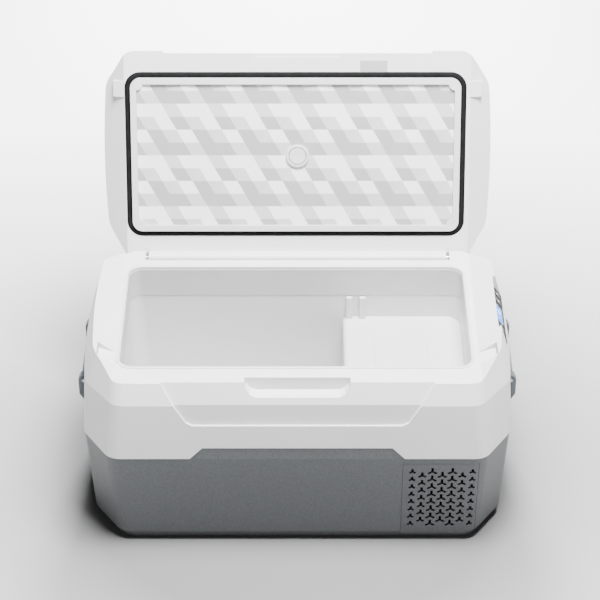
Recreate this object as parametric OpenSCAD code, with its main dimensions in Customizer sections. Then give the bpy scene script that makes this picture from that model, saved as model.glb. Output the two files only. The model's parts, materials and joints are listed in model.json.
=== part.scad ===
// Compressor cooler box with a hinged lid, drawn with the lid swung open.
// Frame: origin on the floor under the middle of the body, X along its length, Y to the rear, Z up.

/* [Body] */
// Length of the body at the parting line, between its side corners
body_l = 554; // [545:1:565]
// Depth of the body at the parting line
body_d = 324; // [320:1:330]
// Height of the parting line between the grey base and the white upper shell
split_h = 148; // [144:1:150]
// Height of the lower edge of the sloping shoulder
shoulder_h = 230; // [228:1:232]
// Height of the flat rim round the tub
rim_h = 257; // [256:1:259]
// Bulge of each long side face at its middle
side_bow = 5; // [3:0.5:6]
// Thickness of the shell walls
wall = 3; // [2.5:0.1:3.2]

/* [Lid] */
// Angle by which the lid is swung open
lid_open = 111; // [100:1:111]
// Height of the top of the closed lid
lid_top_h = 303; // [300:1:306]
// Gap between the closed lid and the rim
lid_gap = 2.5; // [2:0.1:3]

/* [Tub] */
// Length of the tub opening
tub_l = 449; // [445:1:450]
// Depth of the tub opening, front to back
tub_d = 216.2; // [212:0.2:217]
// Height of the tub floor
floor_h = 35; // [32:1:45]
// Height of the shelf over the compressor
shelf_h = 175.3; // [172:0.1:178]

/* [Handles] */
// Length of each side handle
handle_l = 124; // [118:1:126]
// Thickness of the handle grip
grip_t = 13; // [12:0.5:13]

/* [Hidden] */

$fn = 48;
corner_steps = 5;
side_steps = 8;
eps = 0.01;
pipe_sides = 12;
far = 400;
top_of_table = 310;

WHITE = [0.93, 0.93, 0.94];
GREY = [0.45, 0.47, 0.48];
DARK = [0.16, 0.17, 0.18];
STEEL = [0.7, 0.7, 0.72];
COPPER = [0.72, 0.45, 0.3];

// Plan sizes of the body at each height: the front and rear corners, then the side corners.
foot_inset = 8;
chamfer_h = 17;
base_draft = 7;
half_l = body_l / 2;
half_d = body_d / 2;
SIDE_X = [[0, half_l - 15], [chamfer_h, half_l - base_draft], [split_h, half_l],
          [shoulder_h, half_l - 5.5], [top_of_table, half_l - 27.6]];
SIDE_Y = [[0, 99], [chamfer_h, 102.5], [split_h, 107], [shoulder_h, 104], [top_of_table, 94]];
CORNER_X = [[0, 226], [chamfer_h, 232.5], [split_h, 240], [shoulder_h, 231], [top_of_table, 222.5]];
FRONT_Y = [[0, half_d - base_draft - foot_inset], [chamfer_h, half_d - base_draft], [split_h, half_d],
           [shoulder_h, half_d - 5.7], [top_of_table, half_d - 40.4]];
front_corner_r = 24;
side_corner_r = 30;
// How the corner points move when the outline is drawn in by one unit
front_corner_slip = 0.53;
side_corner_slip = 0.31;

// Rim
rim_flat_x = 232;
rim_slope_run = 26.5;
rim_slope_rise = 20;
shoulder_tilt = atan(22.1 / (top_of_table - shoulder_h));

// Parting line: raised over the middle of the front
split_rise = 16.5;
split_flat_x = 120.8;
split_foot_x = 137.1;
lip_step = 1;
seam = 0.4;

// Front recesses
panel_depth = 3;
// Right half of the front panel's outline, [x, z], and where its sides reach at lid height
PANEL_EDGE = [[172, rim_h], [146.8, 214], [141, 204], [133, 199.4]];
lid_panel_top_x = 190;
lid_panel_top_z = 292;
finger_top_x = 67;
finger_foot_x = 53;
finger_floor_h = 238.5;
finger_round = 7;
finger_back_y = -132;

// Tub: its middle sits a little left of and in front of the body's middle
tub_x = -2.5;
tub_y = -2.6;
tub_r = 18;
tub_lower_r = 28;
collar_h = 212;
liner_t = 2.5;
bead_w = 4;
bead_h = 1;
hump_x = 61.8;
hump_r = 7;
tub_left = tub_x - tub_l / 2;
tub_right = tub_x + tub_l / 2;
tub_front = tub_y - tub_d / 2;
tub_back = tub_y + tub_d / 2;

// Lid catches
pocket_y0 = -104;
pocket_y1 = -80;
pocket_x1 = 254;
tab_x0 = 231;
tab_x1 = 247;

// Hinge
hinge_y = 138;
hinge_z = 251;
hinge_bar_r = 6.5;
hinge_bar_x = 202;
notch_x = 206.5;
notch_y = 123.2;
notch_floor_h = 241.3;
hinge_pin_r = 2.5;
hinge_bore_r = 2.55;
hinge_pin_in = 16;
hinge_pin_out = 14;

// Lid
lid_skin = 3;
frame_t = 2.5;
relief_slope = 0.979;
relief_y = 130;
relief_z = 256.4;
relief_x = 203;
gasket_w = 7.5;
gasket_h = 4.1;
gasket_face_h = 258.3;
gasket_out = 4.4;
liner_rim_h = 254.5;
liner_rim_w = 8.3;
liner_panel_h = 260;
panel_t = 2;
lid_flange_t = 2;
plug_r = 11.2;
plug_ring_r = 15.4;
plug_t = 4.8;

// Compressor bay behind the hump
base_floor = 5;
bay_left = 92;
bay_top = 146;
SHELF_RIB_X = [113, 183];
shelf_rib_r = 9;
shelf_rib_t = 2.6;
shelf_rib_y0 = -82;
shelf_rib_y1 = 60;
WALL_RIB_X = [66.7, 84.6];
wall_rib_w = 8;
wall_rib_t = 6;
evaporator_z0 = 48;
evaporator_z1 = 190;
evaporator_x1 = 42;
probe_r = 3;
stub_z = 120;
drier_x = 101;
drier_y0 = 10;
drier_y1 = 70;
condenser_y = -134;
condenser_top_z = 120;
condenser_pitch = 16;
condenser_runs = 6;
condenser_low_z = condenser_top_z - condenser_pitch * (condenser_runs - 1);
drier_z = condenser_low_z;
fin_x0 = 139;
fin_x1 = 227;
compressor_leg_x = 48;
compressor_leg_y = 36;
board_x0 = 110;
board_x1 = 146;
board_y0 = -84;
board_y1 = 6;
board_z = 16;
cable_r = 2;
cable_x = 238;
cable_y = -30;
inlet_x = 116;
inlet_z = 48;
inlet_y1 = 150;
rear_vent_x0 = 145;
rear_vent_x1 = 228;
rear_vent_z0 = 20;
rear_vent_z1 = 126;
foot_x = 195;
foot_y = 118;
foot_r = 13;
foot_t = 2.5;
tongue_l = 12;
tongue_t = 2;
screw_r = 1.5;
head_r = 3;
head_t = 1.8;
shell_screw_z = split_h - 6.5;
SHELL_SCREW_X = [-200, -70, 70, 200];
SLOT_ARM = [6.6, 6.6, 5.6, 4.6];
plug_y = -1.4;
fan_x = 184;
fan_z = 80;
fan_y = -104;
fan_size = 92;
fan_depth = 25;
fan_hole_r = 43;
fan_blade_r = 41;
fan_hub_r = 16;
fan_pin_r = 1.5;
fan_bore_r = 1.55;
compressor_x = 196;
compressor_y = 62;
compressor_r = 48;
compressor_z0 = 16;
compressor_z1 = 112;
dome_r = 22;
tube_r = 3.2;
line_r = 3;
capillary_r = 1;

// Tubes and lines outside the tub: how far the sheet and the tube stand off, and the lines' places
evap_grow = liner_t + 1.2;
tube_grow = evap_grow + tube_r + 0.5;
evap_in_z = evaporator_z0 + 15;
evap_out_z = evaporator_z1 - 15;
line_y = tub_back + tube_grow;
stub_x = 18;
suction_x = compressor_x - stub_x;
discharge_x = compressor_x + stub_x;
line_bend_x = 150;
suction_z = 128;
discharge_z = 136;
discharge_bend_x = 124;
discharge_bend_y = -60;

// Front vent cover
vent_x0 = 135.6;
vent_x1 = 233;
vent_z0 = 5;
vent_z1 = 137.9;
vent_wall = 3;
slot_w = 3.2;
slot_pitch_x = 12.9;
slot_pitch_z = 13.4;
slot_cols = 7;
slot_rows = 8;
grille_x = 186.5;
grille_z0 = 24.6;
grille_z1 = 133.3;

// Control panel on the right shoulder
panel_tilt = 35;
panel_x = 264.9;
panel_y = 2.5;
panel_z = 255.35;
panel_l = 109;
panel_w = 22.8;
panel_t_out = 3;
panel_pocket_depth = 10;
panel_clear = 0.3;
button_l = 9;
button_w = 12;
button_clear = 0.25;
button_travel = 0.6;
display_l = 34;
display_w = 13;
display_y = 2.5;
BUTTON_Y = [-42, -27, 32, 47];

// Handles
handle_pivot_x = 277.5;
handle_pivot_z = 198.5;
handle_pin_r = 2.5;
handle_bore_r = 2.55;
handle_arm_t = 10;
handle_outer_x = 285;
handle_foot_z = 157.5;
handle_bevel_z = 174;
handle_pocket_l = 129;
handle_pocket_z0 = 153;
handle_pocket_z1 = 207;
handle_pocket_x = 268.5;
finger_pocket_l = 92;
finger_pocket_z0 = 156;
finger_pocket_z1 = 190;
finger_pocket_x = 250;
handle_pin_l = 14.5;

// ---------- outlines ----------

function unit(v) = v / norm(v);

// Points of the arc of radius r that rounds the corner p between its neighbours a and b
function rounded(a, p, b, r) =
    let (u = unit(a - p), v = unit(b - p), half = acos(u * v) / 2,
         c = p + unit(u + v) * r / sin(half),
         s = p + u * r / tan(half) - c, e = p + v * r / tan(half) - c,
         a0 = atan2(s.y, s.x), turn = (atan2(e.y, e.x) - a0 + 540) % 360 - 180)
    [for (i = [0 : corner_steps]) let (t = a0 + turn * i / corner_steps) c + r * [cos(t), sin(t)]];

// Points along the bowed side face, from the front side corner to the rear one
function bow(x, y) =
    [for (i = [1 : side_steps - 1]) let (t = 2 * i / side_steps - 1) [x + side_bow * (1 - t * t), y * t]];

// The right half of the outline at height z, drawn in by inset, from front to rear
function right_half(z, inset) =
    let (vx = lookup(z, SIDE_X) - inset, vy = lookup(z, SIDE_Y) - side_corner_slip * inset,
         cx = lookup(z, CORNER_X) - front_corner_slip * inset, cy = lookup(z, FRONT_Y) - inset,
         side = bow(vx, vy), first = side[0], last = side[len(side) - 1])
    concat(rounded([0, -cy], [cx, -cy], [vx, -vy], front_corner_r),
           rounded([cx, -cy], [vx, -vy], first, side_corner_r),
           side,
           rounded(last, [vx, vy], [cx, cy], side_corner_r),
           rounded([vx, vy], [cx, cy], [0, cy], front_corner_r));

function outline(z, inset) =
    let (half = right_half(z, inset), n = len(half))
    concat(half, [for (i = [n - 1 : -1 : 0]) [-half[i].x, half[i].y]]);

// A closed solid through a stack of rings with equal point counts
module skin(rings) {
    n = len(rings[0]);
    last = len(rings) - 1;
    sides = [for (l = [0 : last - 1]) for (i = [0 : n - 1])
        let (a = l * n + i, b = l * n + (i + 1) % n) each [[a, a + n, b + n], [a, b + n, b]]];
    foot = [for (i = [0 : n - 1]) i];
    head = [for (i = [n - 1 : -1 : 0]) last * n + i];
    polyhedron([for (r = rings) each r], concat([foot], sides, [head]), convexity = 8);
}

// The body's outline carried through a list of [height, inset]
module loft(levels) {
    skin([for (l = levels) [for (p = outline(l[0], l[1])) [p.x, p.y, l[0]]]]);
}

// A rectangle with rounded corners between two corners of a plan
module round_rect(x0, y0, x1, y1, r) {
    translate([x0 + r, y0]) square([x1 - x0 - 2 * r, y1 - y0]);
    translate([x0, y0 + r]) square([x1 - x0, y1 - y0 - 2 * r]);
    for (x = [x0 + r, x1 - r]) for (y = [y0 + r, y1 - r]) translate([x, y]) circle(r);
}

// The tub opening's outline, grown outwards
module tub_outline(grow, r) {
    round_rect(tub_left - grow, tub_front - grow, tub_right + grow, tub_back + grow, r + grow);
}

module slab(z0, z1) {
    translate([0, 0, z0]) linear_extrude(z1 - z0) children();
}

module box(low, high) {
    translate(low) cube(high - low);
}

// A bar of the given outline in the X-Z plane, from y0 to y1
module bar_y(y0, y1) {
    translate([0, y1, 0]) rotate([90, 0, 0]) linear_extrude(y1 - y0) children();
}

// A bar of the given outline in the Y-Z plane, from x0 to x1
module bar_x(x0, x1) {
    translate([x0, 0, 0]) rotate([90, 0, 90]) linear_extrude(x1 - x0) children();
}

module rod_x(x0, x1, r) {
    translate([x0, 0, 0]) rotate([0, 90, 0]) cylinder(r = r, h = x1 - x0);
}

module rod_y(y0, y1, r) {
    translate([0, y1, 0]) rotate([90, 0, 0]) cylinder(r = r, h = y1 - y0);
}

// Where the line from q along d meets the plane through p with the normal n
function slide(q, d, p, n) = q + d * ((p - q) * n) / (d * n);

// The rings of a mitred pipe, from ring number i onwards
function mitred(points, ring, i) =
    i == len(points) - 1 ? [ring] :
    let (d = unit(points[i + 1] - points[i]),
         n = i + 2 < len(points) ? unit(d + unit(points[i + 2] - points[i + 1])) : d)
    concat([ring], mitred(points, [for (q = ring) slide(q, d, points[i + 1], n)], i + 1));

// A pipe with mitred bends through a list of points
module pipe(points, r) {
    d = unit(points[1] - points[0]);
    u = abs(d.z) > 0.9 ? unit(cross(d, [1, 0, 0])) : unit(cross(d, [0, 0, 1]));
    v = cross(d, u);
    ring = [for (k = [0 : pipe_sides - 1])
        points[0] + r * (u * cos(360 * k / pipe_sides) + v * sin(360 * k / pipe_sides))];
    skin(mitred(points, ring, 0));
}

module both_sides() {
    children();
    mirror([1, 0, 0]) children();
}

// ---------- the rim surface and the cuts in the upper shell ----------

// Everything below the rim surface lowered by drop: flat over the tub, rising towards both sides
module below_rim(drop) {
    run = far - rim_flat_x;
    rise = run * rim_slope_rise / rim_slope_run;
    bar_y(-far, far)
        polygon([[-far, -far], [far, -far], [far, rim_h + rise - drop], [rim_flat_x, rim_h - drop],
                 [-rim_flat_x, rim_h - drop], [-far, rim_h + rise - drop]]);
}

// The wedge by which the base stands up into the front and rear of the upper shell
module split_tab(y0, y1, grow) {
    bar_y(y0, y1)
        polygon([[-split_foot_x - grow, split_h - 1], [split_foot_x + grow, split_h - 1],
                 [split_foot_x + grow, split_h], [split_flat_x + grow, split_h + split_rise + grow],
                 [-split_flat_x - grow, split_h + split_rise + grow], [-split_foot_x - grow, split_h]]);
}

// The shallow trapezoid that the front of the shell and of the lid share
module front_panel_prism(grow) {
    top = [PANEL_EDGE[0].x + grow, rim_h + 60];
    sides = [for (p = PANEL_EDGE) p + [grow, 0]];
    foot = sides[3] - [0, grow];
    half = [top, sides[0], sides[1], sides[2], foot];
    bar_y(-far, 0) polygon(concat(half, [for (i = [4 : -1 : 0]) [-half[i].x, half[i].y]]));
}

module finger_recess(grow) {
    bar_y(-far, finger_back_y + grow)
        polygon([[-finger_foot_x - grow, finger_floor_h - grow],
                 [finger_foot_x + grow, finger_floor_h - grow],
                 [finger_foot_x + finger_round + grow, finger_floor_h + finger_round / 2 - grow],
                 [finger_top_x - 2 + grow, finger_floor_h + finger_round * 1.5],
                 [finger_top_x + grow, rim_h], [finger_top_x + grow, rim_h + 20],
                 [-finger_top_x - grow, rim_h + 20], [-finger_top_x - grow, rim_h],
                 [-finger_top_x + 2 - grow, finger_floor_h + finger_round * 1.5],
                 [-finger_foot_x - finger_round - grow, finger_floor_h + finger_round / 2 - grow]]);
}

module hinge_notch(grow) {
    box([-notch_x - grow, notch_y - grow, notch_floor_h - grow], [notch_x + grow, far, far]);
}

module catch_pocket(grow) {
    bar_y(pocket_y0 - grow, pocket_y1 + grow)
        polygon([[rim_flat_x - 3 - grow, 255.6 - grow], [pocket_x1 + grow, 264.5 - grow],
                 [pocket_x1 + grow, rim_h + 60], [rim_flat_x - 3 - grow, rim_h + 60]]);
}

module handle_pocket(grow) {
    box([handle_pocket_x - grow, -handle_pocket_l / 2 - grow, handle_pocket_z0 - grow],
        [far, handle_pocket_l / 2 + grow, handle_pocket_z1 + grow]);
    box([finger_pocket_x - grow, -finger_pocket_l / 2 - grow, finger_pocket_z0 - grow],
        [far, finger_pocket_l / 2 + grow, finger_pocket_z1 + grow]);
}

// Places children on the control panel's slope: Z out of the shell, X down the slope, Y to the rear
module on_panel() {
    translate([panel_x, panel_y, panel_z]) rotate([0, 90 - panel_tilt, 0]) children();
}

// The panel's pocket, and the shoulder cut away above its slope
module panel_pocket(grow) {
    side = panel_clear + grow;
    top_x = panel_x - (panel_w / 2 + panel_clear) * sin(panel_tilt) - grow;
    top_z = panel_z + (panel_w / 2 + panel_clear) * cos(panel_tilt) - grow;
    foot_x = panel_x + panel_w / 2 * sin(panel_tilt);
    foot_z = panel_z - panel_w / 2 * cos(panel_tilt);
    bar_y(panel_y - panel_l / 2 - side, panel_y + panel_l / 2 + side)
        polygon([[top_x, top_z], [foot_x, foot_z], [foot_x + 60, foot_z], [foot_x + 60, top_z + 60],
                 [top_x, top_z + 60]]);
    on_panel() translate([-panel_w / 2 - side, -panel_l / 2 - side, -panel_pocket_depth - grow])
        cube([panel_w + 2 * side, panel_l + 2 * side, 60]);
}

module hinge_pin_bosses(grow) {
    both_sides() translate([0, hinge_y, hinge_z])
        rod_x(notch_x, notch_x + hinge_pin_out + 3 + grow, hinge_pin_r + 3.5 + grow);
}

module hinge_pin_holes() {
    both_sides() translate([0, hinge_y, hinge_z])
        rod_x(notch_x - 1, notch_x + hinge_pin_out, hinge_pin_r);
}

module handle_pin_holes() {
    both_sides() mirror_y() translate([handle_pivot_x, 0, handle_pivot_z])
        rod_y(handle_pocket_l / 2 - 1, handle_pocket_l / 2 + 4, handle_pin_r);
}

module mirror_y() {
    children();
    mirror([0, 1, 0]) children();
}

// ---------- body shells ----------

// The upper body without its cuts, drawn in by inset and lowered by drop
module upper_solid(inset, drop, z0) {
    intersection() {
        loft([[z0, inset], [shoulder_h, inset], [top_of_table, inset]]);
        below_rim(drop);
    }
}

// The lower body, drawn in by inset
module base_solid(inset, z0, z1) {
    loft([[z0, inset], [max(chamfer_h, z0 + 1), inset], [z1, inset]]);
}

// The space inside the upper shell, clear of the walls of every recess by margin
module upper_hollow(margin) {
    difference() {
        upper_solid(wall + margin, wall + margin, split_h - 1);
        difference() {
            front_panel_prism(wall + margin);
            loft([[split_h - 2, panel_depth + wall + margin], [shoulder_h, panel_depth + wall + margin],
                  [top_of_table, panel_depth + wall + margin]]);
        }
        finger_recess(wall + margin);
        hinge_notch(wall + margin);
        hinge_pin_bosses(margin);
        both_sides() catch_pocket(wall + margin);
        both_sides() handle_pocket(wall + margin);
        panel_pocket(2 + margin);
    }
}

// The tongue of the upper shell that fits inside the base
module tongue() {
    outer = wall + lip_step + 0.2;
    inner = outer + tongue_t;
    difference() {
        union() {
            loft([[split_h - tongue_l, outer], [split_h, outer], [split_h + 1, outer]]);
            loft([[split_h, 0.5], [split_h + 2, 0.5]]);
        }
        loft([[split_h - tongue_l - 1, inner], [split_h, inner], [split_h + 3, inner]]);
    }
}

module upper_shell() {
    color(WHITE) difference() {
        union() {
            difference() {
                upper_solid(0, 0, split_h);
                upper_hollow(0);
            }
            difference() {
                tongue();
                bar_y(-far, 0) square([2 * split_foot_x + 8, 2 * far], center = true);
            }
        }
        difference() {
            front_panel_prism(0);
            loft([[split_h - 2, panel_depth], [shoulder_h, panel_depth], [top_of_table, panel_depth]]);
        }
        finger_recess(0);
        hinge_notch(0);
        hinge_pin_holes();
        handle_pin_holes();
        both_sides() catch_pocket(0);
        both_sides() handle_pocket(0);
        panel_pocket(0);
        cable_run(cable_r + 0.5);
        split_tab(-far, 0, seam);
        shell_screw_spots() rod_y(-14, 5, screw_r);
        slab(rim_h - 20, rim_h + 1) tub_outline(liner_t + 0.1, tub_r);
    }
}

// The window in the front of the base that the vent cover closes
module vent_window(grow) {
    box([vent_x0 - grow, -far, vent_z0 - grow], [vent_x1 + grow, 0, vent_z1 + grow]);
}

module rear_window(grow) {
    box([rear_vent_x0 - grow, 0, rear_vent_z0 - grow], [rear_vent_x1 + grow, far, rear_vent_z1 + grow]);
}

module base_shell() {
    skin = wall + lip_step;
    color(GREY) difference() {
        union() {
            difference() {
                base_solid(lip_step, 0, split_h - seam);
                base_solid(skin, base_floor, split_h + 1);
            }
            // the raised part of the parting line at the front
            intersection() {
                difference() {
                    loft([[split_h - 2, lip_step], [split_h + split_rise, lip_step]]);
                    loft([[split_h - 3, skin], [split_h + split_rise + 1, skin]]);
                }
                split_tab(-far, 0, 0);
            }
            // the ledges that the two vent covers rest on
            intersection() {
                difference() {
                    base_solid(skin, base_floor, split_h - tongue_l - 0.5);
                    base_solid(skin + 2, base_floor - 1, split_h);
                }
                union() {
                    difference() {
                        vent_window(4);
                        vent_window(-4);
                    }
                    difference() {
                        rear_window(4);
                        rear_window(-8);
                    }
                }
            }
            inlet_boss();
        }
        intersection() {
            union() {
                vent_window(seam);
                rear_window(seam);
            }
            difference() {
                base_solid(0, 0, split_h);
                base_solid(skin, 0, split_h + 1);
            }
        }
        inlet_hole();
        for (x = [-1, 1]) for (y = [-1, 1]) translate([x * foot_x, y * foot_y, -1])
            cylinder(r = foot_r + 0.1, h = foot_t + 1);
        shell_screw_spots() screw_hole(screw_r + 0.2, head_r + 0.1, 14);
        rear_vent_screw_spots() rod_y(-14, 5, screw_r);
    }
}

// ---------- tub ----------

// The part of the liner that the compressor hump takes away, with a rounded upper edge
module hump(grow) {
    x = hump_x + grow;
    z = shelf_h - grow;
    bar_y(-far, far) union() {
        translate([x, -far]) square([far, far + z - hump_r]);
        translate([x + hump_r, -far]) square([far, far + z]);
        translate([x + hump_r, z - hump_r]) circle(hump_r);
    }
}

module tub_envelope(grow) {
    difference() {
        slab(floor_h - grow, rim_h) tub_outline(grow, tub_r);
        hump(grow);
    }
}

module tub_liner() {
    color(WHITE) {
        difference() {
            union() {
                tub_envelope(liner_t);
                slab(rim_h, rim_h + bead_h) tub_outline(bead_w, tub_r);
            }
            slab(collar_h, rim_h + 2) tub_outline(0, tub_r);
            difference() {
                hull() {
                    slab(collar_h, collar_h + 1) tub_outline(0, tub_r);
                    slab(floor_h, floor_h + 1) tub_outline(-1.5, tub_lower_r);
                }
                hump(0);
            }
        }
        // the two low ribs on the shelf and the two upright ribs behind them
        for (x = SHELF_RIB_X) slab(shelf_h - eps, shelf_h + shelf_rib_t)
            round_rect(x - shelf_rib_r, shelf_rib_y0, x + shelf_rib_r, shelf_rib_y1, shelf_rib_r - eps);
        for (x = WALL_RIB_X)
            box([x, tub_back - wall_rib_t, shelf_h - eps], [x + wall_rib_w, tub_back - 1, collar_h - 2]);
    }
}

module foam_insulation() {
    inset = wall + panel_depth + 0.4;
    color([0.9, 0.85, 0.6]) difference() {
        intersection() {
            loft([[base_floor + 0.3, inset], [split_h, inset], [shoulder_h, inset], [top_of_table, inset]]);
            below_rim(wall + 0.3);
        }
        finger_recess(wall + 0.3);
        hinge_notch(wall + 0.3);
        hinge_pin_bosses(0.3);
        both_sides() catch_pocket(wall + 0.3);
        both_sides() handle_pocket(wall + 0.3);
        panel_pocket(2.3);
        tub_envelope(liner_t + 0.2);
        box([bay_left, -far, -far], [far, far, bay_top]);
        slab(evaporator_z0 - 4, evaporator_z1 + 4) intersection() {
            tub_outline(liner_t + 2 * tube_r + 2.5, tub_r);
            translate([-far, -far]) square([far + evaporator_x1 + 26, 2 * far]);
        }
        suction_line_path(line_r + 0.4);
        capillary_path(line_r);
        cable_run(cable_r + 0.5);
        probe_rod(probe_r + 0.2);
    }
}

// ---------- cooling circuit ----------

module evaporator_sheet() {
    color([0.8, 0.8, 0.82]) slab(evaporator_z0, evaporator_z1) intersection() {
        difference() {
            tub_outline(evap_grow, tub_r);
            tub_outline(liner_t + 0.2, tub_r);
        }
        translate([-far, -far]) square([far + evaporator_x1, 2 * far]);
    }
}

// Points of an arc about c in the plane of u and v
function arc(c, u, v, r, a0, a1) =
    [for (i = [0 : 5]) let (a = a0 + (a1 - a0) * i / 5) c + r * (u * cos(a) + v * sin(a))];

// One level of the evaporator tube: along the back, round the left end and along the front
function evaporator_run(z) =
    let (x = tub_left + tub_r, r = tub_r + tube_grow)
    concat([[evaporator_x1, tub_back + tube_grow, z]],
           arc([x, tub_back - tub_r, z], [1, 0, 0], [0, 1, 0], r, 90, 180),
           arc([x, tub_front + tub_r, z], [1, 0, 0], [0, 1, 0], r, 180, 270),
           [[evaporator_x1, tub_front - tube_grow, z]]);

function reversed(list) = [for (i = [len(list) - 1 : -1 : 0]) list[i]];

function evaporator_route() =
    let (step = (evaporator_z1 - evaporator_z0 - 30) / 3)
    [for (i = [0 : 3])
        let (z = evaporator_z0 + 15 + i * step, run = evaporator_run(z), front = i % 2 == 0,
             y = front ? tub_front - tube_grow : tub_back + tube_grow)
        each concat(front ? run : reversed(run),
                    i == 3 ? [] : [for (a = [30 : 30 : 150])
                        [evaporator_x1 + step / 2 * sin(a), y, z + step / 2 * (1 - cos(a))]])];

module evaporator_tube() {
    color(COPPER) pipe(evaporator_route(), tube_r);
}

// A quarter or half turn of tube in the X-Y plane
module elbow(r, tube, angle) {
    rotate_extrude(angle = angle) translate([r, 0]) circle(tube, $fn = 24);
}

// A half turn in an upright X-Z plane that opens towards -X
module upright_bend(r, tube) {
    rotate([90, 0, 0]) rotate([0, 0, -90]) elbow(r, tube, 180);
}

module suction_line_path(r) {
    pipe([[evaporator_x1, line_y, evap_out_z], [line_bend_x, line_y, evap_out_z],
          [line_bend_x, line_y, suction_z],
          [suction_x, compressor_y, suction_z], [suction_x, compressor_y, stub_z]], r);
}

module suction_line() {
    color(COPPER) suction_line_path(line_r);
}

module capillary_path(r) {
    pipe([[drier_x, drier_y1 + 6, drier_z], [drier_x, line_y, drier_z], [drier_x, line_y, evap_in_z],
          [evaporator_x1, line_y, evap_in_z]], r);
}

module capillary_tube() {
    color(COPPER) capillary_path(capillary_r);
}

module discharge_line() {
    x = discharge_bend_x;
    z = discharge_z;
    color(COPPER) pipe([[discharge_x, compressor_y, stub_z], [discharge_x, compressor_y, z],
        [x, discharge_bend_y, z], [x, condenser_y, z], [x, condenser_y, condenser_top_z],
        [fin_x0 - 4, condenser_y, condenser_top_z]], line_r);
}

module filter_drier() {
    color(COPPER) {
        translate([drier_x, 0, drier_z]) rod_y(drier_y0, drier_y1, 8);
        translate([drier_x, 0, drier_z]) rod_y(drier_y0 - 6, drier_y1 + 6, line_r);
    }
}

module condenser_tube() {
    top = condenser_top_z;
    color(COPPER) {
        for (i = [0 : condenser_runs - 1]) {
            z = top - i * condenser_pitch;
            translate([0, condenser_y, z]) rod_x(fin_x0 - 4, fin_x1 + 4, tube_r - 0.2);
            x = i % 2 == 0 ? fin_x1 + 4 : fin_x0 - 4;
            if (i < condenser_runs - 1) translate([x, condenser_y, z - condenser_pitch / 2])
                mirror([i % 2, 0, 0]) upright_bend(condenser_pitch / 2, tube_r - 0.2);
        }
        // the tail to the drier
        pipe([[fin_x0 - 4, condenser_y, drier_z], [drier_x, condenser_y, drier_z],
              [drier_x, drier_y0 - 6, drier_z]], line_r);
    }
}

module condenser_fins() {
    count = 20;
    pitch = (fin_x1 - fin_x0 - 0.5) / (count - 1);
    color([0.8, 0.8, 0.82]) difference() {
        for (i = [0 : count - 1]) box([fin_x0 + i * pitch, condenser_y - 11, condenser_low_z - 9],
            [fin_x0 + i * pitch + 0.5, condenser_y + 11, condenser_top_z + 9]);
        for (i = [0 : condenser_runs - 1]) translate([0, condenser_y, condenser_top_z - i * condenser_pitch])
            rod_x(fin_x0 - 1, fin_x1 + 1, tube_r - 0.15);
    }
}

module compressor() {
    r = compressor_r;
    color(DARK) translate([compressor_x, compressor_y, 0]) {
        rotate_extrude() polygon(concat([[0, compressor_z0 + 3], [r, compressor_z0 + 3]],
            [for (a = [0 : 10 : 90]) [r - dome_r + dome_r * cos(a),
                                      compressor_z1 - dome_r + dome_r * sin(a)]],
            [[0, compressor_z1]]));
        translate([0, 0, compressor_z0]) linear_extrude(3 + eps) difference() {
            square([compressor_leg_x * 2 + 22, compressor_leg_y * 2 + 22], center = true);
            for (x = [-1, 1]) for (y = [-1, 1])
                translate([x * compressor_leg_x, y * compressor_leg_y]) circle(4);
        }
        for (x = [-stub_x, stub_x]) translate([x, 0, compressor_z1 - 2])
            cylinder(r = line_r, h = stub_z - compressor_z1 + 2);
    }
}

module compressor_terminal_cover() {
    color(DARK) difference() {
        box([compressor_x - compressor_r - 16, compressor_y - 20, 40],
            [compressor_x - compressor_r + 8, compressor_y + 20, 84]);
        translate([compressor_x, compressor_y, 0]) cylinder(r = compressor_r + 0.2, h = 200);
    }
}

module compressor_legs() {
    for (x = [-1, 1]) for (y = [-1, 1])
        translate([compressor_x + x * compressor_leg_x, compressor_y + y * compressor_leg_y, 0]) children();
}

// Each grommet carries a leg on its shoulder and passes up through the leg's hole
module compressor_grommets() {
    color(DARK) compressor_legs() difference() {
        union() {
            translate([0, 0, base_floor + 2]) cylinder(r = 8, h = compressor_z0 - base_floor - 2);
            translate([0, 0, compressor_z0 - 1]) cylinder(r = 3.9, h = 5.5);
        }
        translate([0, 0, base_floor + 1]) cylinder(r = 2.1, h = 30);
    }
}

module compressor_tray() {
    color(STEEL) {
        translate([compressor_x, compressor_y, base_floor]) linear_extrude(2)
            square([compressor_leg_x * 2 + 18, compressor_leg_y * 2 + 16], center = true);
        compressor_legs() translate([0, 0, base_floor + 1])
            cylinder(r = 2, h = compressor_z0 + 3 - base_floor);
    }
}

module fan_shroud() {
    half = fan_size / 2;
    color(DARK) translate([fan_x, 0, fan_z]) {
        difference() {
            box([-half, fan_y - fan_depth / 2, -half], [half, fan_y + fan_depth / 2, half]);
            rod_y(fan_y - fan_depth, fan_y + fan_depth, fan_hole_r);
            for (x = [-1, 1]) for (z = [-1, 1]) translate([x * (half - 5), 0, z * (half - 5)])
                rod_y(fan_y - fan_depth, fan_y + fan_depth, 2.2);
        }
        // motor plate on four struts, with the pin that the rotor turns on
        rod_y(fan_y + fan_depth / 2 - 3, fan_y + fan_depth / 2, fan_hub_r);
        rod_y(fan_y - fan_depth / 2 + 3, fan_y + fan_depth / 2 - 2, fan_pin_r);
        for (a = [45 : 90 : 315]) rotate([0, a, 0])
            box([fan_hub_r - 1, fan_y + fan_depth / 2 - 3, -2], [fan_hole_r + 1, fan_y + fan_depth / 2, 2]);
    }
}

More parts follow.
